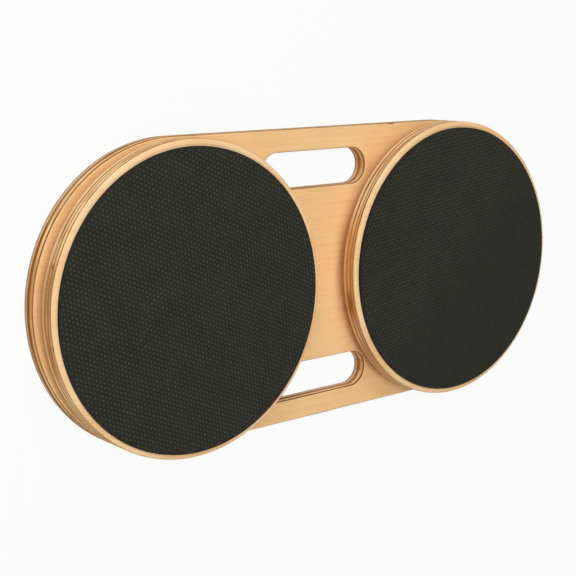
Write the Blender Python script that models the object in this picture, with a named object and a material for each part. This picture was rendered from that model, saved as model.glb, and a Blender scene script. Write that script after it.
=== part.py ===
"""Twisting disc board: a plywood base with two hand slots, and two plywood discs that spin on ball rings.

Metres, +Z up. The origin is on the floor under the middle of the board, and +X runs along the board
from the left disc to the right one. Run it with blender --background --python part.py.
"""

import math

import bmesh
import bpy

# Board
DISC_SPACING = 0.371
BOARD_END_RADIUS = 0.160
BOARD_THICKNESS = 0.015
BOARD_TOP_ROUNDING = 0.0020
BOARD_BOTTOM_ROUNDING = 0.0008
SHEET_THICKNESS = 0.0022
SHEET_EDGE_ROUNDING = 0.0004
SLOT_LENGTH = 0.146
SLOT_WIDTH = 0.040
HANDLE_WIDTH = 0.024

# Discs and pads
DISC_DIAMETER = 0.320
DISC_THICKNESS = 0.018
DISC_TOP_ROUNDING = 0.0026
DISC_BOTTOM_ROUNDING = 0.0012
DISC_RIM_WIDTH = 0.0063
PAD_THICKNESS = 0.0036
PAD_EDGE_ROUNDING = 0.0005
PAD_SIDE_GAP = 0.0007
RECESS_DEPTH = 0.0008

# Ball rings
BALL_CIRCLE_DIAMETER = 0.220
BALL_DIAMETER = 0.008
BALL_COUNT = 12
BALL_CLEARANCE = 0.0004
RACE_SIDE_GAP = 0.0030
RACE_WIDTH = 0.015
RACE_LIP = 0.0010
RACE_END_GAP = 0.0027
CAGE_SIDE_CLEARANCE = 0.0006
CAGE_FLOOR = 0.0009
CAGE_REACH = 0.0028

# Screws
SCREWS_PER_RING = 4
SCREW_FROM_RACE_EDGE = 0.0066
SCREW_CLEARANCE = 0.0003
WOOD_SCREW_RADIUS = 0.0021
WOOD_SCREW_HEAD_RADIUS = 0.0043
WOOD_SCREW_HEAD_HEIGHT = 0.0024
WOOD_UNDER_SCREW = 0.0037
WOOD_SCREW_POINT = 0.0040
DISC_SCREW_RADIUS = 0.0025
DISC_SCREW_HEAD_RADIUS = 0.0047
DISC_SCREW_HEAD_HEIGHT = 0.0026
DISC_SCREW_IN_RACE = 0.0095
DISC_SCREW_POINT = 0.0008
SCREW_HEAD_RIM = 0.0003
SOCKET_RADIUS = 0.0017
SOCKET_DEPTH = 0.0015

# Small gap between pieces that rest on each other or are glued
SEAT = 0.0003

# Steps round each curve
DISC_STEPS = 72
BOARD_END_STEPS = 32
SLOT_END_STEPS = 10
RACE_STEPS = 48
CAGE_STEPS_PER_BALL = 4
GROOVE_STEPS = 4
ROUNDING_STEPS = 3
SCREW_STEPS = 8
SOCKET_STEPS = 6
BALL_SUBDIVISION_STEPS = 2

# Heights, from the floor up
board_bottom = SHEET_THICKNESS + SEAT
board_top = board_bottom + BOARD_THICKNESS
pilot_floor = board_bottom + WOOD_UNDER_SCREW
wood_screw_tip = pilot_floor + SCREW_CLEARANCE
groove_radius = BALL_DIAMETER / 2 + BALL_CLEARANCE
groove_half_mouth = math.sqrt(groove_radius**2 - (RACE_SIDE_GAP / 2) ** 2)
race_overlap = 2 * (groove_half_mouth + RACE_LIP)
race_height = race_overlap + RACE_END_GAP
fixed_race_bottom = board_top + SEAT
fixed_race_top = fixed_race_bottom + race_height
turning_race_bottom = fixed_race_top - race_overlap
turning_race_top = turning_race_bottom + race_height
ball_height = (turning_race_bottom + fixed_race_top) / 2
disc_bottom = turning_race_top + SEAT
disc_top = disc_bottom + DISC_THICKNESS
recess_floor = disc_top - RECESS_DEPTH
pad_bottom = recess_floor + SEAT
pad_top = pad_bottom + PAD_THICKNESS

# Radii, from a disc's spin axis out
ball_circle_radius = BALL_CIRCLE_DIAMETER / 2
turning_wall_radius = ball_circle_radius - RACE_SIDE_GAP / 2
turning_bore_radius = turning_wall_radius - RACE_WIDTH
fixed_wall_radius = ball_circle_radius + RACE_SIDE_GAP / 2
fixed_rim_radius = fixed_wall_radius + RACE_WIDTH
race_screw_circle = fixed_rim_radius - SCREW_FROM_RACE_EDGE
disc_screw_circle = turning_bore_radius + SCREW_FROM_RACE_EDGE
recess_radius = DISC_DIAMETER / 2 - DISC_RIM_WIDTH
pad_radius = recess_radius - PAD_SIDE_GAP
cage_half_wall = RACE_SIDE_GAP / 2 - CAGE_SIDE_CLEARANCE

# From the middle of the board out to the middle of a hand slot, whose outer side is the handle
slot_from_middle = BOARD_END_RADIUS - HANDLE_WIDTH - SLOT_WIDTH / 2


def even_turns(steps):
    return [math.tau * step / steps for step in range(steps)]


def circle(centre, radius, turns):
    """A round outline. It is called with how far it is grown sideways, and gives its points."""

    def points(grow):
        reach = radius + grow
        return [(centre[0] + reach * math.cos(turn), centre[1] + reach * math.sin(turn)) for turn in turns]

    return points


def long_round(centre, half_straight, radius, end_steps):
    """A straight-sided outline with two half-round ends along X, called as circle's is."""

    def points(grow):
        reach = radius + grow
        corners = []
        for end in (1, -1):
            for step in range(end_steps + 1):
                turn = math.pi * (step / end_steps - end / 2)
                x = centre[0] + end * half_straight + reach * math.cos(turn)
                corners.append((x, centre[1] + reach * math.sin(turn)))
        return corners

    return points


def sides(ring):
    """Each two neighbouring corners of a closed ring."""
    return list(zip(ring, ring[1:] + ring[:1]))


def wall(bm, outline, levels, closed=False):
    """Joins an outline's copies, each at its own growth and height, and gives the first and last ring."""
    rings = [[bm.verts.new((x, y, height)) for x, y in outline(grow)] for grow, height in levels]
    following = rings[1:] + rings[:1] if closed else rings[1:]
    for lower, upper in zip(rings, following):
        for (low, next_low), (high, next_high) in zip(sides(lower), sides(upper)):
            bm.faces.new((low, next_low, next_high, high))
    return rings[0], rings[-1]


def cap(bm, *rings):
    """Fills a flat face that the rings bound or pierce."""
    edges = [bm.edges.get(pair) for ring in rings for pair in sides(ring)]
    bmesh.ops.triangle_fill(bm, edges=edges, use_beauty=True)


def rounded_levels(low, high, low_rounding, high_rounding, grow):
    """Levels of a wall with rounded edges. grow is -1 on an outer wall and 1 in a hole."""
    quarter = [math.pi / 2 * step / ROUNDING_STEPS for step in range(ROUNDING_STEPS + 1)]
    lower = [
        (grow * low_rounding * (1 - math.cos(turn)), low + low_rounding * (1 - math.sin(turn)))
        for turn in reversed(quarter)
    ]
    upper = [
        (grow * high_rounding * (1 - math.cos(turn)), high - high_rounding * (1 - math.sin(turn)))
        for turn in quarter
    ]
    return lower + upper


def screw_places(circle_radius):
    """Centres of a ring's screws, from the spin axis, half a step round from +X."""
    turns = [turn + math.pi / SCREWS_PER_RING for turn in even_turns(SCREWS_PER_RING)]
    return [(circle_radius * math.cos(turn), circle_radius * math.sin(turn)) for turn in turns]


def screw_hole(place, radius):
    return circle(place, radius + SCREW_CLEARANCE, even_turns(SCREW_STEPS))


def countersink(low, high, radius, head_radius, head_height):
    """Levels of a screw hole up to the seat in the upper face, which follows the head's own form."""
    flare = head_radius - radius
    return [(0, low), (0, high - head_height), (flare, high - SCREW_HEAD_RIM), (flare, high)]


def closed_mesh(bm, name, finish):
    bmesh.ops.recalc_face_normals(bm, faces=bm.faces)
    mesh = bpy.data.meshes.new(name)
    bm.to_mesh(mesh)
    bm.free()
    mesh.materials.append(finish)
    mesh.shade_smooth()
    mesh.set_sharp_from_angle(angle=math.radians(30))
    return mesh


def piece(name, mesh, parent=None, place=(0, 0, 0)):
    made = bpy.data.objects.new(name, mesh)
    made.parent = parent
    made.location = place
    bpy.context.collection.objects.link(made)
    return made


def material(name, colour, roughness, metallic=0.0):
    made = bpy.data.materials.new(name)
    made.use_nodes = True
    shader = made.node_tree.nodes["Principled BSDF"]
    shader.inputs["Base Color"].default_value = (*colour, 1)
    shader.inputs["Roughness"].default_value = roughness
    shader.inputs["Metallic"].default_value = metallic
    return made


def board_outline():
    return long_round((0, 0), DISC_SPACING / 2, BOARD_END_RADIUS, BOARD_END_STEPS)


def slot_outlines():
    half_straight = (SLOT_LENGTH - SLOT_WIDTH) / 2
    return [
        long_round((0, side * slot_from_middle), half_straight, SLOT_WIDTH / 2, SLOT_END_STEPS)
        for side in (-1, 1)
    ]


def base_board_mesh(birch):
    """The plywood board, with rounded edges, two hand slots and blind pilot holes for the wood screws."""
    bm = bmesh.new()
    outer = rounded_levels(board_bottom, board_top, BOARD_BOTTOM_ROUNDING, BOARD_TOP_ROUNDING, -1)
    inner = rounded_levels(board_bottom, board_top, BOARD_BOTTOM_ROUNDING, BOARD_TOP_ROUNDING, 1)
    walls = [wall(bm, board_outline(), outer)] + [wall(bm, slot, inner) for slot in slot_outlines()]
    mouths = []
    for axis_x in (-DISC_SPACING / 2, DISC_SPACING / 2):
        for x, y in screw_places(race_screw_circle):
            hole = screw_hole((axis_x + x, y), WOOD_SCREW_RADIUS)
            floor, mouth = wall(bm, hole, [(0, pilot_floor), (0, board_top)])
            cap(bm, floor)
            mouths.append(mouth)
    cap(bm, *[low for low, high in walls])
    cap(bm, *[high for low, high in walls], *mouths)
    return closed_mesh(bm, "base_board", birch)


def grip_sheet_mesh(rubber):
    """The rubber sheet glued under the board, cut out at the slots."""
    bm = bmesh.new()
    outer = rounded_levels(0, SHEET_THICKNESS, SHEET_EDGE_ROUNDING, 0, -1)[:-ROUNDING_STEPS]
    inner = rounded_levels(0, SHEET_THICKNESS, SHEET_EDGE_ROUNDING, 0, 1)[:-ROUNDING_STEPS]
    walls = [wall(bm, board_outline(), outer)] + [wall(bm, slot, inner) for slot in slot_outlines()]
    cap(bm, *[low for low, high in walls])
    cap(bm, *[high for low, high in walls])
    return closed_mesh(bm, "floor_grip_sheet", rubber)


def disc_mesh(birch):
    """A plywood disc with rounded edges, a recess for the pad and countersunk screw holes in its floor."""
    bm = bmesh.new()
    radius = DISC_DIAMETER / 2
    levels = rounded_levels(disc_bottom, disc_top, DISC_BOTTOM_ROUNDING, DISC_TOP_ROUNDING, -1)
    levels += [(recess_radius - radius, disc_top), (recess_radius - radius, recess_floor)]
    below, floor = wall(bm, circle((0, 0), radius, even_turns(DISC_STEPS)), levels)
    hole_levels = countersink(
        disc_bottom, recess_floor, DISC_SCREW_RADIUS, DISC_SCREW_HEAD_RADIUS, DISC_SCREW_HEAD_HEIGHT
    )
    holes = [
        wall(bm, screw_hole(place, DISC_SCREW_RADIUS), hole_levels)
        for place in screw_places(disc_screw_circle)
    ]
    cap(bm, below, *[low for low, high in holes])
    cap(bm, floor, *[high for low, high in holes])
    return closed_mesh(bm, "disc", birch)


def pad_mesh(rubber):
    """The flat rubber pad, glued in the recess and standing proud of the disc's rim."""
    bm = bmesh.new()
    levels = [(0, pad_bottom), (0, pad_top - PAD_EDGE_ROUNDING), (-PAD_EDGE_ROUNDING, pad_top)]
    below, above = wall(bm, circle((0, 0), pad_radius, even_turns(DISC_STEPS)), levels)
    cap(bm, below)
    cap(bm, above)
    return closed_mesh(bm, "pad", rubber)


def groove_levels(wall_side):
    """Levels of a race's ball groove, up its wall. wall_side is 1 on the outer race and -1 on the inner one."""
    half_angle = math.acos(RACE_SIDE_GAP / 2 / groove_radius)
    turns = [half_angle * (2 * step / GROOVE_STEPS - 1) for step in range(GROOVE_STEPS + 1)]
    return [
        (
            wall_side * (groove_radius * math.cos(turn) - RACE_SIDE_GAP / 2),
            ball_height + groove_radius * math.sin(turn),
        )
        for turn in turns
    ]


def race_mesh(name, metal, bottom, top, wall_radius, plain_radius, hole_circle, hole_levels, hole_radius):
    """A turned metal ring with a ball groove in one wall and screw holes through it."""
    bm = bmesh.new()
    turns = even_turns(RACE_STEPS)
    wall_side = 1 if plain_radius > wall_radius else -1
    grooved = wall(bm, circle((0, 0), wall_radius, turns), [(0, bottom), *groove_levels(wall_side), (0, top)])
    plain = wall(bm, circle((0, 0), plain_radius, turns), [(0, bottom), (0, top)])
    outer, inner = (plain, grooved) if wall_side == 1 else (grooved, plain)
    holes = [wall(bm, screw_hole(place, hole_radius), hole_levels) for place in screw_places(hole_circle)]
    cap(bm, outer[0], inner[0], *[low for low, high in holes])
    cap(bm, outer[1], inner[1], *[high for low, high in holes])
    return closed_mesh(bm, name, metal)


def fixed_race_mesh(metal):
    """The outer ring, screwed to the board from above."""
    holes = countersink(
        fixed_race_bottom, fixed_race_top, WOOD_SCREW_RADIUS, WOOD_SCREW_HEAD_RADIUS, WOOD_SCREW_HEAD_HEIGHT
    )
    return race_mesh(
        "fixed_race", metal, fixed_race_bottom, fixed_race_top,
        fixed_wall_radius, fixed_rim_radius, race_screw_circle, holes, WOOD_SCREW_RADIUS,
    )


def turning_race_mesh(metal):
    """The inner ring, screwed under the disc."""
    holes = [(0, turning_race_bottom), (0, turning_race_top)]
    return race_mesh(
        "turning_race", metal, turning_race_bottom, turning_race_top,
        turning_wall_radius, turning_bore_radius, disc_screw_circle, holes, DISC_SCREW_RADIUS,
    )


def cage_mesh(nylon):
    """A crown cage: a thin ring under the balls, with a wall standing up between each two of them."""
    pocket = math.asin((BALL_DIAMETER / 2 + BALL_CLEARANCE) / ball_circle_radius)
    pitch = math.tau / BALL_COUNT
    wall_steps = CAGE_STEPS_PER_BALL - 1
    turns = []
    for ball in range(BALL_COUNT):
        for step in range(wall_steps + 1):
            turns.append(ball * pitch + pocket + (pitch - 2 * pocket) * step / wall_steps)
    floor_top = ball_height - BALL_DIAMETER / 2 - BALL_CLEARANCE
    floor_bottom = floor_top - CAGE_FLOOR
    bm = bmesh.new()
    inner, outer = -cage_half_wall, cage_half_wall
    section = [(inner, floor_bottom), (inner, floor_top), (outer, floor_top), (outer, floor_bottom)]
    wall(bm, circle((0, 0), ball_circle_radius, turns), section, closed=True)
    bmesh.ops.recalc_face_normals(bm, faces=bm.faces)
    standing = []
    for face in bm.faces:
        middle = face.calc_center_median()
        off_ball = abs((math.atan2(middle.y, middle.x) + pitch / 2) % pitch - pitch / 2)
        if face.normal.z > 0.5 and off_ball > pocket:
            standing.append(face)
    raised = bmesh.ops.extrude_face_region(bm, geom=standing)
    lifted = [part for part in raised["geom"] if isinstance(part, bmesh.types.BMVert)]
    rise = ball_height + CAGE_REACH - floor_top
    bmesh.ops.translate(bm, verts=lifted, vec=(0, 0, rise))
    bmesh.ops.delete(bm, geom=standing, context="FACES")
    return closed_mesh(bm, "ball_cage", nylon)


def ball_mesh(steel):
    bm = bmesh.new()
    bmesh.ops.create_icosphere(bm, subdivisions=BALL_SUBDIVISION_STEPS, radius=BALL_DIAMETER / 2)
    return closed_mesh(bm, "ball", steel)


def screw_mesh(name, steel, top, bottom, radius, head_radius, head_height, point):
    """A countersunk screw standing on its point, with a six-sided socket in its head."""
    bm = bmesh.new()
    levels = [
        (-radius / 2, bottom),
        (0, bottom + point),
        (0, top - head_height),
        (head_radius - radius, top - SCREW_HEAD_RIM),
        (head_radius - radius, top),
    ]
    tip, head = wall(bm, circle((0, 0), radius, even_turns(SCREW_STEPS)), levels)
    socket = circle((0, 0), SOCKET_RADIUS, even_turns(SOCKET_STEPS))
    socket_floor, socket_mouth = wall(bm, socket, [(0, top - SOCKET_DEPTH), (0, top)])
    cap(bm, tip)
    cap(bm, head, socket_mouth)
    cap(bm, socket_floor)
    return closed_mesh(bm, name, steel)


def spin_axis(name, x):
    """An empty on the upright axis that a disc, or its ball cage, turns about."""
    axis = bpy.data.objects.new(name, None)
    axis.location = (x, 0, 0)
    bpy.context.collection.objects.link(axis)
    return axis


for leftover in list(bpy.data.objects):
    bpy.data.objects.remove(leftover, do_unlink=True)

birch = material("birch_plywood", (0.84, 0.51, 0.24), 0.45)
pad_rubber = material("pad_rubber", (0.026, 0.027, 0.023), 0.80)
sheet_rubber = material("sheet_rubber", (0.075, 0.072, 0.066), 0.85)
aluminium = material("race_aluminium", (0.62, 0.63, 0.65), 0.35, 1.0)
steel = material("zinc_plated_steel", (0.58, 0.58, 0.56), 0.30, 1.0)
nylon = material("cage_nylon", (0.75, 0.74, 0.68), 0.50)

piece("base_board", base_board_mesh(birch))
piece("floor_grip_sheet", grip_sheet_mesh(sheet_rubber))

disc = disc_mesh(birch)
pad = pad_mesh(pad_rubber)
fixed_race = fixed_race_mesh(aluminium)
turning_race = turning_race_mesh(aluminium)
cage = cage_mesh(nylon)
ball = ball_mesh(steel)
race_screw = screw_mesh(
    "race_screw", steel, fixed_race_top, wood_screw_tip,
    WOOD_SCREW_RADIUS, WOOD_SCREW_HEAD_RADIUS, WOOD_SCREW_HEAD_HEIGHT, WOOD_SCREW_POINT,
)
disc_screw = screw_mesh(
    "disc_screw", steel, recess_floor, turning_race_top - DISC_SCREW_IN_RACE,
    DISC_SCREW_RADIUS, DISC_SCREW_HEAD_RADIUS, DISC_SCREW_HEAD_HEIGHT, DISC_SCREW_POINT,
)

for side, axis_x in (("left", -DISC_SPACING / 2), ("right", DISC_SPACING / 2)):
    disc_axis = spin_axis(f"{side}_disc_axis", axis_x)
    cage_axis = spin_axis(f"{side}_cage_axis", axis_x)
    piece(f"{side}_disc", disc, disc_axis)
    piece(f"{side}_pad", pad, disc_axis)
    piece(f"{side}_turning_race", turning_race, disc_axis)
    piece(f"{side}_fixed_race", fixed_race, None, (axis_x, 0, 0))
    piece(f"{side}_ball_cage", cage, cage_axis)
    for number, turn in enumerate(even_turns(BALL_COUNT), 1):
        x = ball_circle_radius * math.cos(turn)
        y = ball_circle_radius * math.sin(turn)
        piece(f"{side}_ball_{number:02d}", ball, cage_axis, (x, y, ball_height))
    for number, (x, y) in enumerate(screw_places(race_screw_circle), 1):
        piece(f"{side}_race_screw_{number}", race_screw, None, (axis_x + x, y, 0))
    for number, (x, y) in enumerate(screw_places(disc_screw_circle), 1):
        piece(f"{side}_disc_screw_{number}", disc_screw, disc_axis, (x, y, 0))
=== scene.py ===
import math

import bmesh
import bpy
from mathutils import Matrix, Vector


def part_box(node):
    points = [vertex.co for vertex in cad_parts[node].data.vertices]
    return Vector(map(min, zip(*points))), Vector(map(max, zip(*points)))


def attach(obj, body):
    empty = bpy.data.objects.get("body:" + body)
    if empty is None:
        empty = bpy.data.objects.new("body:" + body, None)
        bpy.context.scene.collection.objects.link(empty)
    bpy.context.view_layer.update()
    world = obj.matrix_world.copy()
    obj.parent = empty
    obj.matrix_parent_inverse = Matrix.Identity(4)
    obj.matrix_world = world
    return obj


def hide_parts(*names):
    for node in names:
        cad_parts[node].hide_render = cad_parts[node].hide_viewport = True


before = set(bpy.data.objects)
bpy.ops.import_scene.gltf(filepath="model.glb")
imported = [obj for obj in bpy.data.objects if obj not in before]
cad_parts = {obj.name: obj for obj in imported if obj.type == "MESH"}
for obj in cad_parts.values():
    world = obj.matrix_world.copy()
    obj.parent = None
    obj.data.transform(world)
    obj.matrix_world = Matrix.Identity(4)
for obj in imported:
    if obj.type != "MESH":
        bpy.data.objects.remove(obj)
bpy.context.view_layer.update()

# Grip sheet: a thin sheet of grey rubber, cut to the board's outline and its two hand slots and glued
# to the underside, so that the board doesn't slide on the floor.

sheet_bottom, sheet_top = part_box("floor_grip_sheet")
board_bottom, board_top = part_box("base_board")
board_end = board_top.y
disc_reach = board_top.x - board_end
left_middle = (-disc_reach, 0)
right_middle = (disc_reach, 0)
board_middles = [right_middle, left_middle]
slot_length = 0.146
slot_end = 0.020
slot_from_middle = 0.116
end_steps = 96
slot_steps = 28
edge_steps = 6
sheet_edge = 0.0004


def outline(bm, middles, radius, height, steps):
    """Draws a flat ring of edges: a circle round one middle, or straight sides with round ends round two."""
    drawn = set(bm.edges)
    if len(middles) == 1:
        place = Matrix.Translation((*middles[0], height))
        bmesh.ops.create_circle(bm, segments=steps, radius=radius, matrix=place)
        return [edge for edge in bm.edges if edge not in drawn]
    ends = []
    for side, (x, y) in zip((1, -1), middles):
        first = bm.verts.new((x, y - side * radius, height))
        arc = bmesh.ops.spin(
            bm, geom=[first], cent=(x, y, height), axis=(0, 0, 1), angle=math.pi, steps=steps
        )
        ends.append((first, arc["geom_last"][0]))
    (right_first, right_last), (left_first, left_last) = ends
    bm.edges.new((right_last, left_first))
    bm.edges.new((left_last, right_first))
    return [edge for edge in bm.edges if edge not in drawn]


def climb(bm, ring, middles, steps):
    """Raises a wall from a ring of edges. Each step says how far it grows sideways and how far it rises."""
    for grow, rise in steps:
        raised = bmesh.ops.extrude_edge_only(bm, edges=ring)["geom"]
        corners = {part for part in raised if isinstance(part, bmesh.types.BMVert)}
        for corner in corners:
            away = min((corner.co.xy - Vector(middle) for middle in middles), key=lambda reach: reach.length)
            corner.co.xy += away.normalized() * grow
            corner.co.z += rise
        edges = [part for part in raised if isinstance(part, bmesh.types.BMEdge)]
        ring = [edge for edge in edges if corners.issuperset(edge.verts)]
    return ring


def rounded(radius, side):
    """Steps of a rounded upper edge. side is -1 on an outer wall and 1 in a hole."""
    turns = [math.pi / 2 * step / edge_steps for step in range(edge_steps + 1)]
    return [
        (side * radius * (math.cos(low) - math.cos(high)), radius * (math.sin(high) - math.sin(low)))
        for low, high in zip(turns, turns[1:])
    ]


def rounded_foot(radius, side):
    """Steps of a rounded lower edge, the same curve upside down."""
    return [(-grow, rise) for grow, rise in reversed(rounded(radius, side))]


def flat(bm, *rings):
    """Fills the flat face that the rings bound or pierce."""
    bmesh.ops.triangle_fill(bm, edges=[edge for ring in rings for edge in ring], use_beauty=True)


def plate(bm, height, walls, mouths=()):
    """A flat-faced piece. Each wall climbs from its own outline at the given height, then both faces fill.

    mouths are rings of blind holes, which are already at the upper face."""
    floors = []
    roofs = list(mouths)
    for middles, radius, around, steps in walls:
        foot = outline(bm, middles, radius, height, around)
        floors.append(foot)
        roofs.append(climb(bm, foot, middles, steps))
    flat(bm, *floors)
    flat(bm, *roofs)


def made_piece(bm, name, material, crease=40):
    """Turns a closed shape into an object, smooth all over but at its creases."""
    bmesh.ops.recalc_face_normals(bm, faces=bm.faces)
    mesh = bpy.data.meshes.new(name)
    bm.to_mesh(mesh)
    bm.free()
    mesh.shade_smooth()
    mesh.set_sharp_from_angle(angle=math.radians(crease))
    mesh.materials.append(material)
    made = bpy.data.objects.new(name, mesh)
    bpy.context.scene.collection.objects.link(made)
    return made


class Signal:
    """One output of a shader node. Arithmetic on it adds Math nodes, and node adds any other kind."""

    def __init__(self, tree, socket=None):
        self.tree = tree
        self.socket = socket

    def node(self, kind, settings=None, inputs=None, output=0):
        made = self.tree.nodes.new(kind)
        for name, setting in (settings or {}).items():
            setattr(made, name, setting)
        for name, value in (inputs or {}).items():
            if isinstance(value, Signal):
                self.tree.links.new(value.socket, made.inputs[name])
            else:
                made.inputs[name].default_value = value
        return Signal(self.tree, made.outputs[output]) if made.outputs else None

    def also(self, output):
        """Another output of the same node."""
        return Signal(self.tree, self.socket.node.outputs[output])

    def maths(self, operation, *values):
        return self.node("ShaderNodeMath", {"operation": operation}, dict(enumerate(values)))

    def __add__(self, other):
        return self.maths("ADD", self, other)

    __radd__ = __add__

    def __sub__(self, other):
        return self.maths("SUBTRACT", self, other)

    def __rsub__(self, other):
        return self.maths("SUBTRACT", other, self)

    def __mul__(self, other):
        return self.maths("MULTIPLY", self, other)

    __rmul__ = __mul__

    def __truediv__(self, other):
        return self.maths("DIVIDE", self, other)


def new_material(name):
    """An empty node material, with the signal that its nodes start from."""
    material = bpy.data.materials.new(name)
    material.use_nodes = True
    material.node_tree.nodes.clear()
    return material, Signal(material.node_tree)


def noise(start, place, detail=2, roughness=0.5):
    """Noise from 0 to 1 at a place, with one blotch to each unit of it."""
    values = {"Vector": place, "Scale": 1.0, "Detail": detail, "Roughness": roughness}
    return start.node("ShaderNodeTexNoise", {}, values)


def stretched_noise(start, scale, detail=2, roughness=0.5, shift=(0, 0, 0)):
    """Noise from 0 to 1 on the piece's own metres, with its own scale along each axis."""
    place = start.node("ShaderNodeTexCoord", output="Object")
    mapped = start.node("ShaderNodeMapping", {}, {"Vector": place, "Location": shift, "Scale": scale})
    return noise(start, mapped, detail, roughness)


def step_up(value, low, high):
    """0 below low, 1 above high, and a smooth rise between them."""
    values = {"Value": value, "From Min": low, "From Max": high}
    return value.node("ShaderNodeMapRange", {"interpolation_type": "SMOOTHSTEP"}, values)


def blended(factor, under, over):
    """One colour over another by a factor."""
    return factor.node("ShaderNodeMix", {"data_type": "RGBA"}, {0: factor, 6: under, 7: over}, output=2)


def colour(red, green, blue):
    """A colour as a picture editor writes it, 0 to 255, made linear."""
    parts = [part / 255 for part in (red, green, blue)]
    linear = [part / 12.92 if part <= 0.04045 else ((part + 0.055) / 1.055) ** 2.4 for part in parts]
    return (*linear, 1)


def surface(start, inputs, height=None, depth=0.0):
    """The surface shader, with relief of the given depth in metres where a height is given."""
    if height is not None:
        relief = {"Height": height, "Strength": 1.0, "Distance": depth}
        inputs = {**inputs, "Normal": start.node("ShaderNodeBump", {}, relief)}
    shader = start.node("ShaderNodeBsdfPrincipled", {}, inputs)
    start.node("ShaderNodeOutputMaterial", {}, {"Surface": shader})


def sheet_rubber():
    """Grey rubber with soft blotches and fine pale specks of filler."""
    material, start = new_material("sheet_rubber")
    patches = stretched_noise(start, (60, 60, 60), detail=3)
    specks = stretched_noise(start, (1500, 1500, 1500), detail=2)
    tone = blended(step_up(patches, 0.35, 0.7), colour(164, 151, 135), colour(182, 169, 152))
    tone = blended(step_up(specks, 0.55, 0.8) * 0.5, tone, colour(202, 190, 174))
    surface(start, {
        "Base Color": tone,
        "Roughness": 0.7 + specks * 0.2,
        "Specular IOR Level": 0.3,
    }, height=specks, depth=0.00004)
    return material


def slot_middles(side):
    """Middles of a hand slot's two round ends. side is 1 at the back and -1 at the front."""
    reach = slot_length / 2 - slot_end
    return [(reach, side * slot_from_middle), (-reach, side * slot_from_middle)]


bm = bmesh.new()
sheet_rise = sheet_top.z - sheet_bottom.z - sheet_edge
plate(bm, sheet_bottom.z, [
    (middles, radius + side * sheet_edge, around, [*rounded_foot(sheet_edge, side), (0, sheet_rise)])
    for middles, radius, side, around in (
        (board_middles, board_end, -1, end_steps),
        (slot_middles(1), slot_end, 1, slot_steps),
        (slot_middles(-1), slot_end, 1, slot_steps),
    )
])
grip_sheet = made_piece(bm, "grip_sheet", sheet_rubber())
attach(grip_sheet, "board")
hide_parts("floor_grip_sheet")

# Board: birch plywood of five plies, 15 mm thick, routed to a long shape with round ends and two hand
# slots. Its edges are rounded over and sanded, and clear lacquer leaves the plies showing all round.
# Eight blind pilot holes take the wood screws of the two ball rings.

board_thickness = board_top.z - board_bottom.z
board_plies = [0.0004, 0.0030, 0.0034, 0.0062, 0.0020]
board_over = 0.0020
board_under = 0.0008
edge_strip = 0.0006
ply_wander = 0.0007
screw_gap = 0.0001
hole_steps = 24
wood_screw_radius = 0.0021
race_screw_low, race_screw_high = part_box("right_race_screw_1")
race_screw_place = (race_screw_low + race_screw_high) / 2
race_screw_circle = (race_screw_place.xy - Vector(right_middle)).length
dark_mark_tone = colour(82, 50, 22)
board_marks = [
    ((-0.3455, 0.0055, 0.0088), (0.0030, 0.0070, 0.0016), dark_mark_tone, 0.3),
    ((-0.3426, 0.0305, 0.0092), (0.0030, 0.0055, 0.0012), dark_mark_tone, 0.3),
    ((0.1120, 0.1594, 0.0165), (0.0070, 0.0014, 0.0014), dark_mark_tone, 0.6),
    # A dark line along the front rounded edge.
    ((0.0050, -0.1598, 0.0160), (0.0330, 0.0018, 0.0018), dark_mark_tone, 0.6),
]


def screw_spots(middle, circle):
    """Middles of a ring's four screws, half a step round from the board's length."""
    reach = circle * math.sqrt(0.5)
    return [
        (middle[0] + along * reach, middle[1] + across * reach)
        for along in (1, -1)
        for across in (1, -1)
    ]


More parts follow.
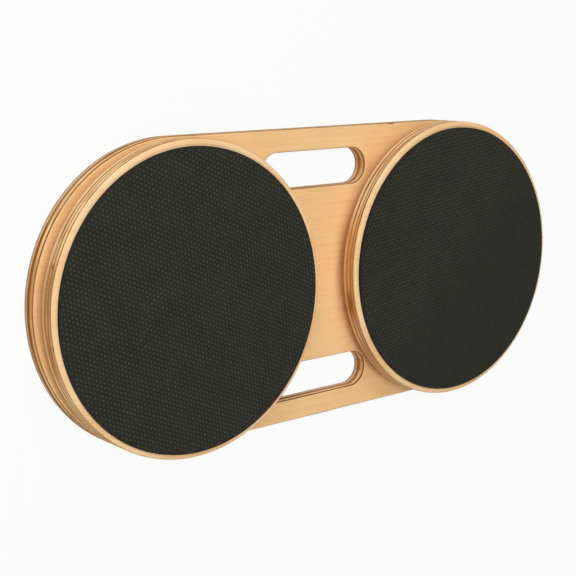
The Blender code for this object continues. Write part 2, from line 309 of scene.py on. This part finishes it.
def plywood(name, top, plies, marks, palest, end_tones, core_tone, core_at_ends):
    """Lacquered birch ply: pale plies with their grain along X, dark cross plies, and a few marks.

    plies are their thicknesses from the top down. A pale ply's edge turns to the browns of end_tones where
    it shows end grain. A cross ply's edge is a line of core_tone, of which core_at_ends is left there.
    Each mark is a patch of its own colour, such as a knot, a dark line or painted shade on a wall: its
    middle, its reach each way, its colour, and how firm its edge is."""
    material, start = new_material(name)
    place = start.node("ShaderNodeTexCoord", output="Object")
    x = start.node("ShaderNodeSeparateXYZ", {}, {0: place})
    y = x.also(1)
    z = x.also(2)
    facing = start.node("ShaderNodeTexCoord", output="Normal")
    facing_x = start.node("ShaderNodeSeparateXYZ", {}, {0: facing})
    facing_y = facing_x.also(1)
    end_x = facing_x * facing_x
    edge = end_x + facing_y * facing_y
    end_grain = step_up(end_x, 0.78, 0.94)

    wobble = stretched_noise(start, (18, 18, 18), detail=3)
    depth = top - z + (wobble - 0.5) * ply_wander
    shares = []
    nearly_whole = 0.999
    for ply_thickness in plies:
        share = depth / ply_thickness
        shares.append(share.maths("MINIMUM", share.maths("MAXIMUM", share, 0), nearly_whole))
        depth = depth - ply_thickness
    layer = sum(shares)
    ply = layer.maths("FLOOR", layer)
    cross = ply.maths("MODULO", ply, 2)
    from_middle = layer.maths("ABSOLUTE", layer - ply - 0.5)
    streaks = stretched_noise(start, (30, 30, 140), detail=3, shift=(5, 2, 6))

    def by_ply(scale, shift):
        """Blotches along the edge that differ from ply to ply."""
        run = start.node("ShaderNodeCombineXYZ", {}, {0: x * scale + shift, 1: y * scale, 2: ply * 5.7})
        return noise(start, run, 3)

    fading = by_ply(13, 0)
    core_strength = (0.80 + step_up(fading, 0.40, 0.56) * 0.20) * (1 - end_grain * (1 - core_at_ends))
    dark_core = cross * (1 - step_up(from_middle, 0.28, 0.50)) * core_strength
    glue = step_up(from_middle, 0.45, 0.49) * step_up(edge, 0.5, 0.9)

    along = x * (1 - cross) + y * cross
    across = y * (1 - cross) + x * cross

    def fibres(lengthwise, sideways, detail=3):
        run = start.node("ShaderNodeCombineXYZ", {}, {
            0: along * lengthwise,
            1: across * sideways,
            2: z * sideways + ply * 3.7,
        })
        return noise(start, run, detail, 0.55)

    figure = fibres(7, 210)
    grain = fibres(40, 900, 4)
    pores = fibres(160, 2600, 2)
    shade = stretched_noise(start, (11, 16, 30), detail=2, shift=(3, 1, 0))
    patches = by_ply(17, 4)

    pale = blended(step_up(shade, 0.3, 0.7), colour(240, 195, 139), palest)
    # Side faces and rounded edges are painted paler than the flat faces: a painted highlight.
    pale = blended(step_up(edge, 0.3, 0.9) * 0.7, pale, colour(252, 215, 164))
    brown = blended(step_up(patches, 0.40, 0.60), *end_tones)
    worn = step_up(edge, 0.5, 0.95) * step_up(streaks * 0.5 + fading * 0.5, 0.48, 0.60) * 0.7
    lowest = step_up(layer, len(plies) - 0.75, len(plies) - 0.55)
    brownness = end_grain.maths("MAXIMUM", end_grain * (0.7 + patches * 0.4), worn) * (1 - lowest * 0.6)
    tone = blended(brownness, pale, brown)
    tone = blended(dark_core * step_up(edge, 0.3, 0.8), tone, core_tone)
    tone = blended(glue * 0.12, tone, colour(120, 74, 36))
    tone = blended(step_up(figure, 0.42, 0.72) * 0.12, tone, colour(190, 134, 76))
    tone = blended(step_up(grain, 0.50, 0.80) * 0.22, tone, colour(188, 132, 76))
    tone = blended(step_up(pores, 0.66, 0.80) * 0.25, tone, colour(150, 96, 50))
    for middle, reach, mark_tone, firm in marks:
        away = start.node("ShaderNodeVectorMath", {"operation": "SUBTRACT"}, {0: place, 1: middle})
        away = start.node("ShaderNodeVectorMath", {"operation": "DIVIDE"}, {0: away, 1: reach})
        away = start.node("ShaderNodeVectorMath", {"operation": "LENGTH"}, {0: away}, output="Value")
        knot = 1 - step_up(away + (grain - 0.5) * 0.8, firm, 1.0)
        tone = blended(knot * 0.85, tone, mark_tone)
    surface(start, {
        "Base Color": tone,
        "Roughness": 0.44 + grain * 0.10 + end_grain * 0.06,
        "Specular IOR Level": 0.0,
        "Coat Weight": 0.10,
        "Coat Roughness": 0.25,
    }, height=grain * 0.6 + pores * 0.4 - glue * 0.4, depth=0.00004)
    return material


bm = bmesh.new()
pilots = []
for middle in board_middles:
    for spot in screw_spots(middle, race_screw_circle):
        hole_radius = wood_screw_radius + screw_gap
        hole_floor = race_screw_low.z - screw_gap
        foot = outline(bm, [spot], hole_radius, hole_floor, hole_steps)
        flat(bm, foot)
        pilots.append(climb(bm, foot, [spot], [(0, board_top.z - hole_floor)]))
half_rise = (board_thickness - board_under - board_over) / 2
plate(bm, board_bottom.z, [
    (
        middles,
        radius + side * (board_under + edge_strip),
        around,
        [
            (-side * edge_strip, 0),
            *rounded_foot(board_under, side),
            (0, half_rise),
            (0, half_rise),
            *rounded(board_over, side),
            (side * edge_strip, 0),
        ],
    )
    for middles, radius, side, around in (
        (board_middles, board_end, -1, end_steps),
        (slot_middles(1), slot_end, 1, slot_steps),
        (slot_middles(-1), slot_end, 1, slot_steps),
    )
], pilots)
board_plywood = plywood(
    "board_plywood", board_top.z, board_plies, board_marks, palest=colour(245, 202, 146),
    end_tones=(colour(200, 142, 84), colour(228, 174, 116)), core_tone=colour(132, 78, 20), core_at_ends=0.9,
)
board = made_piece(bm, "plywood_board", board_plywood)
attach(board, "board")
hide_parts("base_board")

# Fixed races: the outer rings of the two ball bearings, turned from aluminium, with a round groove for
# the balls in the inner wall. Each lies on the board and has four countersunk screw holes.

fixed_race_low, fixed_race_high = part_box("right_fixed_race")
turning_race_low, turning_race_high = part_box("right_turning_race")
ball_low, ball_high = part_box("right_ball_01")
ball_middle = (ball_low + ball_high) / 2
ball_radius = (ball_high.z - ball_low.z) / 2
ball_circle = ball_middle.x - disc_reach
groove_gap = 0.0004
groove_radius = ball_radius + groove_gap
turning_wall = turning_race_high.y
fixed_wall = 2 * ball_circle - turning_wall
wall_from_ball = ball_circle - turning_wall
race_width = 0.015
race_lip = 0.0003
race_steps = 180
groove_steps = 14
lathe_lines = 5200
side_middles = {"left": left_middle, "right": right_middle}
head_rim = 0.0003
race_screw_head = 0.0043
race_screw_head_height = 0.0024
groove_turn = math.acos(wall_from_ball / groove_radius)
groove_mouth = groove_radius * math.sin(groove_turn)


def race_wall(low, high, side, grooved):
    """Steps up a race's wall, with turned corners. side is -1 on the outer wall and 1 on the inner one."""
    corner = [(-side * race_lip, race_lip)]
    last_corner = [(side * race_lip, race_lip)]
    if not grooved:
        return [*corner, (0, high - low - 2 * race_lip), *last_corner]
    turns = [groove_turn * (2 * step / groove_steps - 1) for step in range(groove_steps + 1)]
    groove = [
        (
            side * groove_radius * (math.cos(upper) - math.cos(lower)),
            groove_radius * (math.sin(upper) - math.sin(lower)),
        )
        for lower, upper in zip(turns, turns[1:])
    ]
    below = ball_middle.z - groove_mouth - low - race_lip
    above = high - ball_middle.z - groove_mouth - race_lip
    return [*corner, (0, below), *groove, (0, above), *last_corner]


def screw_seat(low, high, shank, head, head_height):
    """Steps up a countersunk screw hole, from the lower face to the upper one."""
    return [(0, high - low - head_height), (head - shank, head_height - head_rim), (0, head_rim)]


def race_aluminium():
    """Turned aluminium: fine rings from the lathe, and a thin uneven film of grease."""
    material, start = new_material("race_aluminium")
    place = start.node("ShaderNodeTexCoord", output="Object")
    x = start.node("ShaderNodeSeparateXYZ", {}, {0: place})
    y = x.also(1)
    z = x.also(2)
    from_axis_x = x.maths("ABSOLUTE", x) - disc_reach
    from_axis = x.maths("SQRT", from_axis_x * from_axis_x + y * y)
    run = start.node("ShaderNodeCombineXYZ", {}, {0: from_axis * lathe_lines, 1: z * lathe_lines, 2: x * 12})
    turned = noise(start, run, 3, 0.6)
    film = stretched_noise(start, (45, 45, 45), detail=3)
    tone = blended(step_up(film, 0.35, 0.7), colour(196, 198, 201), colour(180, 181, 182))
    tone = blended(step_up(turned, 0.55, 0.85) * 0.3, tone, colour(150, 151, 153))
    surface(start, {
        "Base Color": tone,
        "Metallic": 0.95 - step_up(film, 0.45, 0.8) * 0.15,
        "Roughness": 0.28 + turned * 0.16 + step_up(film, 0.4, 0.8) * 0.14,
    }, height=turned, depth=0.00002)
    return material


race_metal = race_aluminium()
race_hole = wood_screw_radius + screw_gap
for side_name, middle in side_middles.items():
    low = fixed_race_low.z
    high = fixed_race_high.z
    seat = screw_seat(low, high, wood_screw_radius, race_screw_head, race_screw_head_height)
    bm = bmesh.new()
    plate(bm, low, [
        ([middle], fixed_wall + race_width - race_lip, race_steps, race_wall(low, high, -1, False)),
        ([middle], fixed_wall + race_lip, race_steps, race_wall(low, high, 1, True)),
        *(([spot], race_hole, hole_steps, seat) for spot in screw_spots(middle, race_screw_circle)),
    ])
    fixed_race = made_piece(bm, f"{side_name}_fixed_ring", race_metal)
    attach(fixed_race, "board")
    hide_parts(f"{side_name}_fixed_race")

# Race screws: countersunk wood screws of plated steel with a six-sided socket. Four go down through
# each fixed race into the board.

socket_sides = 6
socket_radius = 0.0017
socket_depth = 0.0015
socket_edge = 0.0002


def add_screw(bm, spot, low, high, shank, head, head_height, point, pitch, thread_turns):
    """Turns one screw from its point up: thread, plain shank and countersunk head, then sinks its socket."""
    thread_depth = pitch * 0.3
    core = shank - thread_depth
    tip = core * 0.2
    ridge = [
        (thread_depth, pitch * 0.3),
        (0, pitch * 0.1),
        (-thread_depth, pitch * 0.3),
        (0, pitch * 0.3),
    ]
    plain = high - low - point - thread_turns * pitch - thread_depth - head_height
    foot = outline(bm, [spot], tip, low, hole_steps)
    head_edge = climb(bm, foot, [spot], [
        (core - tip, point),
        *(ridge * thread_turns),
        (thread_depth, thread_depth),
        (0, plain),
        (head - shank, head_height - head_rim),
        (0, head_rim - socket_edge),
        (-socket_edge, socket_edge),
    ])
    socket_floor = outline(bm, [spot], socket_radius, high - socket_depth, socket_sides)
    mouth = climb(bm, socket_floor, [spot], [(0, socket_depth - socket_edge), (socket_edge, socket_edge)])
    flat(bm, foot)
    flat(bm, socket_floor)
    flat(bm, head_edge, mouth)


def plated_steel(name, bright, dull, smooth, rough):
    """Bright steel with a faint cloudy bloom and fine scuffs."""
    material, start = new_material(name)
    bloom = stretched_noise(start, (420, 420, 420), detail=3)
    scuffs = stretched_noise(start, (2600, 900, 2600), detail=3)
    surface(start, {
        "Base Color": blended(step_up(bloom, 0.35, 0.7), bright, dull),
        "Metallic": 1.0,
        "Roughness": smooth + step_up(bloom, 0.3, 0.8) * (rough - smooth) + scuffs * 0.05,
    }, height=scuffs, depth=0.000006)
    return material


zinc_plating = plated_steel("zinc_plating", colour(205, 204, 196), colour(184, 182, 172), 0.22, 0.36)
for side_name, middle in side_middles.items():
    bm = bmesh.new()
    for spot in screw_spots(middle, race_screw_circle):
        add_screw(
            bm, spot, race_screw_low.z, race_screw_high.z, wood_screw_radius, race_screw_head,
            race_screw_head_height, point=0.0036, pitch=0.0014, thread_turns=5,
        )
    race_screws = made_piece(bm, f"{side_name}_race_screws", zinc_plating)
    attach(race_screws, "board")
    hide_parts(*(f"{side_name}_race_screw_{number}" for number in range(1, 5)))

# Ball cages: crown rings moulded in off-white nylon, with an open pocket for each of twelve balls.
# They run between the two races and keep the balls apart.

cage_low, cage_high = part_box("right_ball_cage")
ball_count = 12
cage_half_wall = 0.0009
pocket_gap = 0.0003
pocket_flare = 0.0005
pocket_radius = ball_radius + pocket_gap
pocket_mouth = pocket_radius + pocket_flare
pocket_steps = 16
cage_wall_steps = 6
cage_edge = 0.00018
cage_corner = math.radians(40)


def cage_nylon():
    """Off-white nylon, faintly mottled, with a light bloom of grease."""
    material, start = new_material("cage_nylon")
    mottle = stretched_noise(start, (160, 160, 160), detail=3)
    speckle = stretched_noise(start, (1800, 1800, 1800), detail=2)
    tone = blended(step_up(mottle, 0.3, 0.7), colour(226, 222, 208), colour(236, 233, 221))
    surface(start, {
        "Base Color": blended(step_up(speckle, 0.6, 0.85) * 0.3, tone, colour(205, 200, 184)),
        "Roughness": 0.42 + mottle * 0.16,
    }, height=speckle, depth=0.00001)
    return material


nylon = cage_nylon()
for side_name, (axis_x, axis_y) in side_middles.items():
    bm = bmesh.new()
    axis = Vector((axis_x, axis_y, 0))
    half_pitch = math.pi / ball_count
    mouth_turn = math.asin(pocket_mouth / ball_circle)
    pocket_x = math.sqrt(ball_circle**2 - pocket_radius**2)
    first = bm.verts.new(axis + Vector((
        ball_circle * math.cos(half_pitch), -ball_circle * math.sin(half_pitch), cage_high.z
    )))
    arc = bmesh.ops.spin(
        bm, geom=[first], cent=axis, axis=(0, 0, 1), angle=half_pitch - mouth_turn, steps=cage_wall_steps
    )
    mouth_start = arc["geom_last"][0]
    pocket_start = bm.verts.new(axis + Vector((pocket_x, -pocket_radius, ball_middle.z)))
    bm.edges.new((mouth_start, pocket_start))
    arc = bmesh.ops.spin(
        bm, geom=[pocket_start], cent=axis + Vector((0, 0, ball_middle.z)), axis=(1, 0, 0), angle=math.pi,
        steps=pocket_steps,
    )
    mouth_end = bm.verts.new(axis + Vector((
        ball_circle * math.cos(mouth_turn), ball_circle * math.sin(mouth_turn), cage_high.z
    )))
    bm.edges.new((arc["geom_last"][0], mouth_end))
    bmesh.ops.spin(
        bm, geom=[mouth_end], cent=axis, axis=(0, 0, 1), angle=half_pitch - mouth_turn, steps=cage_wall_steps
    )
    dropped = bmesh.ops.extrude_edge_only(bm, edges=bm.edges[:])["geom"]
    for part in dropped:
        if isinstance(part, bmesh.types.BMVert):
            part.co.z = cage_low.z
    bmesh.ops.spin(
        bm, geom=bm.verts[:] + bm.edges[:] + bm.faces[:], cent=axis, axis=(0, 0, 1),
        angle=math.tau - 2 * half_pitch, steps=ball_count - 1, use_duplicate=True,
    )
    bmesh.ops.remove_doubles(bm, verts=bm.verts[:], dist=0.00001)
    outside = bmesh.ops.extrude_face_region(bm, geom=bm.faces[:], use_keep_orig=True)["geom"]
    outside = {part for part in outside if isinstance(part, bmesh.types.BMVert)}
    for corner in bm.verts:
        away = (corner.co.xy - axis.xy).normalized()
        corner.co.xy += away * (cage_half_wall if corner in outside else -cage_half_wall)
    bmesh.ops.recalc_face_normals(bm, faces=bm.faces)
    corners = [edge for edge in bm.edges if edge.calc_face_angle(0) > cage_corner]
    bmesh.ops.bevel(
        bm, geom=corners, offset=cage_edge, segments=2, profile=0.5, affect="EDGES", material=-1,
        clamp_overlap=True,
    )
    cage = made_piece(bm, f"{side_name}_crown_cage", nylon)
    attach(cage, f"{side_name}_ball_set")
    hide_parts(f"{side_name}_ball_cage")

# Balls: twelve hardened steel balls to each ring, ground and polished, which carry the disc and hold the
# two races level with each other.

ball_steel = plated_steel("ball_steel", colour(214, 216, 219), colour(196, 198, 201), 0.06, 0.14)
for side_name in ("left", "right"):
    ball_names = [f"{side_name}_ball_{number:02d}" for number in range(1, ball_count + 1)]
    bm = bmesh.new()
    for ball_name in ball_names:
        low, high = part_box(ball_name)
        place = Matrix.Translation((low + high) / 2)
        bmesh.ops.create_icosphere(bm, subdivisions=3, radius=ball_radius, matrix=place)
    balls = made_piece(bm, f"{side_name}_balls", ball_steel)
    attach(balls, f"{side_name}_ball_set")
    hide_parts(*ball_names)

# Turning races: the inner rings, turned like the fixed ones, with their ball groove in the outer wall
# and four tapped holes. Each is screwed up under its disc.

disc_screw_low, disc_screw_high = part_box("right_disc_screw_1")
disc_screw_place = (disc_screw_low + disc_screw_high) / 2
disc_screw_circle = (disc_screw_place.xy - Vector(right_middle)).length
disc_screw_radius = 0.0025
disc_screw_hole = disc_screw_radius + screw_gap

for side_name, middle in side_middles.items():
    low = turning_race_low.z
    high = turning_race_high.z
    bm = bmesh.new()
    plate(bm, low, [
        ([middle], turning_wall - race_lip, race_steps, race_wall(low, high, -1, True)),
        ([middle], turning_wall - race_width + race_lip, race_steps, race_wall(low, high, 1, False)),
        *(
            ([spot], disc_screw_hole, hole_steps, [(0, high - low)])
            for spot in screw_spots(middle, disc_screw_circle)
        ),
    ])
    turning_race = made_piece(bm, f"{side_name}_turning_ring", race_metal)
    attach(turning_race, f"{side_name}_turntable")
    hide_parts(f"{side_name}_turning_race")

# Discs: two round plates of the same plywood, of seven plies and 18 mm thick, each turned with a rounded
# edge, a shallow recess in its top for the pad, and four countersunk screw holes in the recess's floor.

disc_edge_steps = 192
disc_over = 0.0026
disc_under = 0.0012
recess_depth = 0.0008
disc_plies = {
    "left": [0.0012, 0.0016, 0.0032, 0.0022, 0.0024, 0.0024, 0.0050],
    "right": [0.0026, 0.0021, 0.0013, 0.0021, 0.0031, 0.0023, 0.0045],
}
recess_edge = 0.0003
disc_screw_head = 0.0047
disc_screw_head_height = 0.0026
disc_low, disc_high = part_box("right_disc")
disc_radius = disc_high.y
disc_thickness = disc_high.z - disc_low.z
pad_low, pad_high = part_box("right_pad")
pad_spread = 0.0006
pad_radius = pad_high.y + pad_spread
recess_gap = 0.0009
recess_radius = pad_radius + recess_gap
disc_marks = {
    "left": [
        ((-0.3371, 0.0512, 0.0429), (0.0040, 0.0035, 0.0012), dark_mark_tone, 0.5),
        ((-0.3437, -0.0239, 0.0495), (0.0030, 0.0045, 0.0011), dark_mark_tone, 0.5),
        ((-0.3040, -0.1060, 0.0430), (0.0500, 0.0550, 0.0200), colour(212, 164, 116), -0.6),
    ],
    "right": [
        # A dark brown patch low on the right disc's left wall: painted shade.
        ((0.0290, -0.0340, 0.0415), (0.0120, 0.0270, 0.0085), colour(160, 82, 34), -0.1),
        ((0.0560, -0.0950, 0.0430), (0.0500, 0.0600, 0.0200), colour(204, 146, 94), -0.6),
        ((0.1440, 0.1550, 0.0430), (0.0350, 0.0200, 0.0200), colour(228, 176, 128), -0.6),
    ],
}
core_tones = {"left": colour(156, 96, 38), "right": colour(114, 65, 8)}
# The right disc's end-grain browns are painted lighter than the left's: painted light on the right disc's
# walls.
lit_and_shaded_end_tones = {
    "left": (colour(168, 114, 60), colour(216, 161, 104)),
    "right": (colour(210, 141, 76), colour(243, 179, 114)),
}

for side_name, middle in side_middles.items():
    # The discs' palest tone is paler and cooler than the board's: a painted sheen on the lacquered rims.
    disc_plywood = plywood(
        f"{side_name}_disc_plywood", disc_high.z, disc_plies[side_name], disc_marks[side_name],
        palest=colour(250, 212, 164), end_tones=lit_and_shaded_end_tones[side_name], core_tone=core_tones[side_name],
        core_at_ends=0.6,
    )
    half_rise = (disc_thickness - disc_under - disc_over) / 2
    rim = disc_radius - disc_over - recess_radius - recess_edge
    wall = [
        (edge_strip, 0),
        *rounded_foot(disc_under, -1),
        (0, half_rise),
        (0, half_rise),
        *rounded(disc_over, -1),
        (-edge_strip, 0),
        (edge_strip - rim, 0),
        (-recess_edge, -recess_edge),
        (0, recess_edge - recess_depth),
    ]
    recess_floor = disc_high.z - recess_depth
    seat = screw_seat(disc_low.z, recess_floor, disc_screw_radius, disc_screw_head, disc_screw_head_height)
    bm = bmesh.new()
    plate(bm, disc_low.z, [
        ([middle], disc_radius - disc_under - edge_strip, disc_edge_steps, wall),
        *(([spot], disc_screw_hole, hole_steps, seat) for spot in screw_spots(middle, disc_screw_circle)),
    ])
    disc = made_piece(bm, f"{side_name}_plywood_disc", disc_plywood)
    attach(disc, f"{side_name}_turntable")
    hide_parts(f"{side_name}_disc")

# Disc screws: countersunk machine screws of plated steel. Four go down through each disc into its turning
# race, and the pad covers their heads.

for side_name, middle in side_middles.items():
    bm = bmesh.new()
    for spot in screw_spots(middle, disc_screw_circle):
        add_screw(
            bm, spot, disc_screw_low.z, disc_screw_high.z, disc_screw_radius, disc_screw_head,
            disc_screw_head_height, point=0.0008, pitch=0.0008, thread_turns=14,
        )
    disc_screws = made_piece(bm, f"{side_name}_disc_screws", zinc_plating)
    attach(disc_screws, f"{side_name}_turntable")
    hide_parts(*(f"{side_name}_disc_screw_{number}" for number in range(1, 5)))

# Pads: round mats of charcoal rubber, moulded with staggered round dots. They are glued into the recesses
# a little off their middles, and stand proud of the plywood rims.

dot_pitch = 0.0047
dot_sides = 8
dot_radius = 0.00185
dot_height = 0.0006
dot_shoulder_height = dot_height * 0.62
dot_shoulder_slope = dot_radius * 0.22
dot_top_slope = dot_radius * 0.40
dot_sunk = 0.0001
pad_edge = 0.0005
pad_turns = {"left": math.radians(5.6), "right": math.radians(-22.3)}
pad_middles = {"left": (-disc_reach, -0.0008), "right": (disc_reach + 0.0004, -0.0004)}


def pad_rubber():
    """Charcoal rubber, matt in the hollows and smoother on top of the dots, whose tops carry a painted
    highlight.

    The painted highlight on the dot tops fades out over the right pad's front right quarter."""
    material, start = new_material("pad_rubber")
    place = start.node("ShaderNodeTexCoord", output="Object")
    x = start.node("ShaderNodeSeparateXYZ", {}, {0: place})
    smooth_highlit_dot_tops = step_up(x.also(2), pad_high.z - dot_height * 0.9, pad_high.z)
    smooth_highlit_dot_tops = smooth_highlit_dot_tops * (1 - step_up(x - x.also(1), 0.15, 0.27) * 0.8)
    patches = stretched_noise(start, (35, 35, 35), detail=3)
    each_dot = stretched_noise(start, (240, 240, 240), detail=0, shift=(3, 5, 0))
    grain = stretched_noise(start, (2200, 2200, 2200), detail=2)
    tone = blended(step_up(patches, 0.3, 0.7), colour(28, 28, 22), colour(34, 34, 28))
    # The dot tops are painted lighter, a painted highlight that fades over the right pad's front right
    # quarter.
    tone = blended(smooth_highlit_dot_tops * (0.25 + step_up(each_dot, 0.3, 0.75) * 0.40), tone, colour(64, 63, 54))
    surface(start, {
        "Base Color": tone,
        "Roughness": 0.62 + grain * 0.2 - smooth_highlit_dot_tops * 0.08,
        "Specular IOR Level": 0.15,
    }, height=grain, depth=0.00003)
    return material


pad_material = pad_rubber()
for side_name, middle in pad_middles.items():
    bm = bmesh.new()
    face = pad_high.z - dot_height
    foot = outline(bm, [middle], pad_radius, pad_low.z, disc_edge_steps)
    wall = [(0, face - pad_low.z - pad_edge), *rounded(pad_edge, -1), (-edge_strip, 0)]
    top = climb(bm, foot, [middle], wall)
    flat(bm, foot)
    flat(bm, top)
    dot_bm = bmesh.new()
    foot = outline(dot_bm, [(0, 0)], dot_radius, -dot_sunk, dot_sides)
    flat(dot_bm, foot)
    dome = [
        (-dot_shoulder_slope, dot_sunk + dot_shoulder_height),
        (-dot_top_slope, dot_height - dot_shoulder_height),
    ]
    bmesh.ops.contextual_create(dot_bm, geom=climb(dot_bm, foot, [(0, 0)], dome))
    dot = bpy.data.meshes.new("dot")
    dot_bm.to_mesh(dot)
    dot_bm.free()
    turn = pad_turns[side_name]
    row_step = dot_pitch * math.sqrt(3) / 2
    count = int(pad_radius / row_step) + 1
    last = Vector((0, 0, 0))
    for row in range(-count, count + 1):
        for column in range(-count, count + 1):
            x = row * row_step
            y = (column + row % 2 / 2) * dot_pitch
            if math.hypot(x, y) > pad_radius - pad_edge - dot_radius:
                continue
            spot = Vector((x, y, 0))
            spot.rotate(Matrix.Rotation(turn, 3, "Z"))
            spot += Vector((*middle, face))
            dot.transform(Matrix.Translation(spot - last))
            bm.from_mesh(dot)
            last = spot
    bpy.data.meshes.remove(dot)
    pad = made_piece(bm, f"{side_name}_rubber_pad", pad_material, crease=60)
    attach(pad, f"{side_name}_turntable")
    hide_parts(f"{side_name}_pad")

# Studio: a white floor and a pale sky, with a wide panel overhead and five soft lamps, of which the two at
# the left are the strongest. The floor lies a hair under the grip sheet.

floor_gap = 0.0002
floor_reach = 12
floor_shown_white = 0.90
sky_light = 0.12


def shown_white(start):
    """1 for what the camera sees, also in a reflection or through glass, and 0 for light on the object."""
    seen = start.node("ShaderNodeLightPath", output="Is Camera Ray")
    seen_at_all = seen + seen.also("Is Glossy Ray") + seen.also("Is Transmission Ray")
    return seen_at_all.maths("MINIMUM", seen_at_all, 1.0)


floor_material, start = new_material("studio_white")
white = start.node("ShaderNodeEmission", {}, {"Color": (1, 1, 1, 1), "Strength": 1.0})
paper = start.node("ShaderNodeBsdfDiffuse", {}, {"Color": (0.86, 0.86, 0.86, 1)})
mixed = start.node("ShaderNodeMixShader", {}, {0: shown_white(start) * floor_shown_white, 1: paper, 2: white})
start.node("ShaderNodeOutputMaterial", {}, {"Surface": mixed})
bm = bmesh.new()
floor_place = Matrix.Translation((0, 0, -floor_gap))
bmesh.ops.create_grid(bm, x_segments=1, y_segments=1, size=floor_reach, matrix=floor_place)
floor = made_piece(bm, "studio_floor", floor_material)

world = bpy.data.worlds.new("studio_sky")
world.use_nodes = True
world.node_tree.nodes.clear()
bpy.context.scene.world = world
start = Signal(world.node_tree)
strength = shown_white(start) * (1 - sky_light) + sky_light
sky = start.node("ShaderNodeBackground", {}, {"Color": (1, 1, 1, 1), "Strength": strength})
start.node("ShaderNodeOutputWorld", {}, {"Surface": sky})

for name, place, size, energy in (
    ("overhead_panel", (-0.45, 0.00, 2.40), 1.9, 18.6),
    ("left_lamp", (-1.25, 0.72, 2.50), 0.96, 22.0),
    ("low_left_lamp", (-1.40, 2.00, 1.52), 0.96, 16.8),
    ("back_lamp", (-0.26, 1.68, 1.70), 0.8, 9.7),
    ("front_lamp", (-0.52, -1.61, 1.70), 0.8, 3.8),
    ("low_front_lamp", (-1.90, -1.00, 0.75), 0.8, 3.2),
):
    lamp_data = bpy.data.lights.new(name, "AREA")
    lamp_data.shape = "DISK"
    lamp_data.size = size
    lamp_data.energy = energy
    lamp = bpy.data.objects.new(name, lamp_data)
    bpy.context.scene.collection.objects.link(lamp)
    lamp.location = place
    lamp.rotation_euler = (-lamp.location).to_track_quat("-Z", "Y").to_euler()

camera_data = bpy.data.cameras.new("camera")
camera_data.lens = 78.114
camera_data.sensor_width = 36
camera = bpy.data.objects.new("camera", camera_data)
bpy.context.scene.collection.objects.link(camera)
camera.location = (-0.88053, 0.24763, 1.04256)
camera.rotation_euler = [math.radians(turn) for turn in (-10.671, -39.4267, -0.5352)]
bpy.context.scene.camera = camera
bpy.context.scene.view_settings.view_transform = "Standard"
